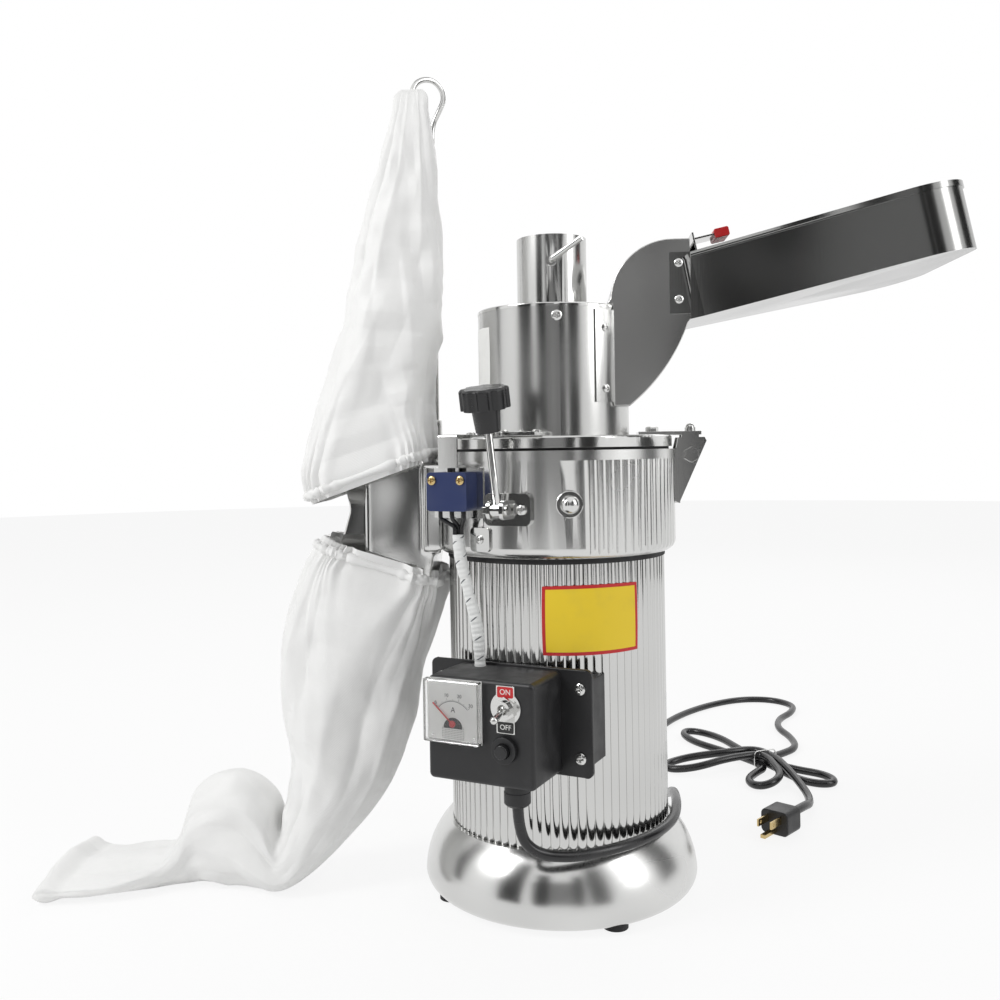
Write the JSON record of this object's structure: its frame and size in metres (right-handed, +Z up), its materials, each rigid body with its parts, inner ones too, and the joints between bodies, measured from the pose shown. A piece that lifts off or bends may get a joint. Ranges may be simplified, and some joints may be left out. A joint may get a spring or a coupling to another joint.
{
  "type": "electric grinder",
  "caption": "Upright electric grinder with fluted motor housing, side feed hopper, clamped hinged lid, split discharge chute with two cloth bags, control box and mains cord.",
  "frame": {"origin": "on the floor under the motor axis, at the plane of the rubber feet", "axes": "+Z up along the motor shaft, +X towards the feed hopper, -Y towards the control box side"},
  "size_m": [0.7366, 0.74, 0.6728],
  "materials": {
    "cast_aluminium": "polished casting",
    "lid_aluminium": "turned and polished",
    "polished_steel": "polished",
    "bright_steel": "bright plated",
    "tool_steel": "ground",
    "black_rubber": "matte",
    "black_plastic": "satin",
    "blue_plastic": "satin",
    "red_plastic": "gloss",
    "meter_white": "gloss",
    "clear_cover": "clear",
    "brass": "plain",
    "white_cloth": "thin woven cloth"
  },
  "bodies": {
    "frame": {"base_casting": "cast_aluminium", "rubber_feet": "black_rubber", "bottom_cover": "bright_steel", "motor_housing": "polished_steel", "bearing_plates": "cast_aluminium", "shaft_bearings": "tool_steel", "motor_stator": "tool_steel", "housing_gasket": "black_rubber", "chamber_body": "cast_aluminium", "chamber_seals": "black_rubber", "liner_ring": "tool_steel", "discharge_chute": "cast_aluminium", "hanger_rod": "bright_steel", "upper_bag": "white_cloth", "lower_bag": "white_cloth", "hinge_bracket": "bright_steel", "pivot_pins": "bright_steel", "clamp_yoke": "bright_steel", "switch_body": "blue_plastic", "switch_bracket": "bright_steel", "switch_screws": "brass", "wire_sleeve": "white_cloth", "switch_wires": "black_plastic", "control_box": "black_plastic", "ammeter_case": "meter_white", "ammeter_window": "clear_cover", "toggle_bush": "bright_steel", "reset_bush": "bright_steel", "cable_gland": "black_plastic", "body_screws": "bright_steel", "cord_run": "black_rubber", "cord_hank": "black_rubber", "cord_tie": "bright_steel", "plug_body": "black_plastic", "plug_blades": "brass"},
    "lid": {"lid_plate": "lid_aluminium", "neck_cylinder": "polished_steel", "neck_cap": "lid_aluminium", "feed_elbow": "polished_steel", "feed_hopper": "polished_steel", "hinge_leaf": "bright_steel", "clamp_lug": "bright_steel", "switch_strap": "bright_steel", "lid_screws": "bright_steel"},
    "fineness_dial": {"fineness_tube": "polished_steel"},
    "sleeve": {"fineness_sleeve": "polished_steel"},
    "gate": {"hopper_gate": "polished_steel", "gate_grip": "red_plastic"},
    "bolt": {"swing_bolt": "bright_steel"},
    "knob": {"clamp_knob": "black_plastic"},
    "plunger": {"switch_plunger": "black_plastic"},
    "needle": {"ammeter_needle": "red_plastic"},
    "toggle": {"toggle_lever": "bright_steel"},
    "reset": {"reset_button": "black_plastic"},
    "rotor": {"rotor_shaft": "tool_steel", "armature": "tool_steel", "hammer_disc": "tool_steel", "hammers": "tool_steel", "impeller": "tool_steel"}
  },
  "joints": [
    {"name": "lid_hinge", "type": "hinge", "parent": "frame", "child": "lid", "pos_m": [0.11, 0, 0.347], "axis": [0, 1, 0], "range_deg": [0, 90]},
    {"name": "clamp_swing", "type": "hinge", "parent": "frame", "child": "bolt", "pos_m": [-0.04181, -0.09849, 0.309], "axis": [0.9205, -0.3907, 0], "range_deg": [-15, 75]},
    {"name": "knob_turn", "type": "hinge", "parent": "bolt", "child": "knob", "pos_m": [-0.04181, -0.09849, 0.309], "axis": [-0.0812, -0.1914, 0.9781], "continuous": true},
    {"name": "fineness_turn", "type": "hinge", "parent": "lid", "child": "fineness_dial", "pos_m": [0, 0, 0.466], "axis": [0, 0, 1], "range_deg": [-45, 45]},
    {"name": "fineness_lift", "type": "slide", "parent": "lid", "child": "sleeve", "axis": [0, 0, 1], "range_m": [-0.005, 0.005]},
    {"name": "gate_slide", "type": "slide", "parent": "lid", "child": "gate", "axis": [-0.2096, 0, 0.9778], "range_m": [0, 0.035]},
    {"name": "toggle_tilt", "type": "hinge", "parent": "frame", "child": "toggle", "pos_m": [-0.03615, -0.13892, 0.174], "axis": [0.9205, -0.3907, 0], "range_deg": [-28, 0]},
    {"name": "reset_push", "type": "slide", "parent": "frame", "child": "reset", "axis": [0.3907, 0.9205, 0], "range_m": [0, 0.003], "stiffness_N_per_m": 300},
    {"name": "needle_swing", "type": "hinge", "parent": "frame", "child": "needle", "pos_m": [-0.0735, -0.12198, 0.1595], "axis": [0.3907, 0.9205, 0], "range_deg": [0, 96], "stiffness_Nm_per_rad": 0.0002},
    {"name": "plunger_travel", "type": "slide", "parent": "frame", "child": "plunger", "axis": [0, 0, 1], "range_m": [0, 0.0031]},
    {"name": "rotor_spin", "type": "hinge", "parent": "frame", "child": "rotor", "pos_m": [0, 0, 0.061], "axis": [0, 0, 1], "continuous": true}
  ],
  "couplings": [
    {"joint": "fineness_lift", "follows": "fineness_turn", "m_per_rad": 0.0063},
    {"joint": "plunger_travel", "follows": "lid_hinge", "m_per_rad": 0.0019}
  ]
}
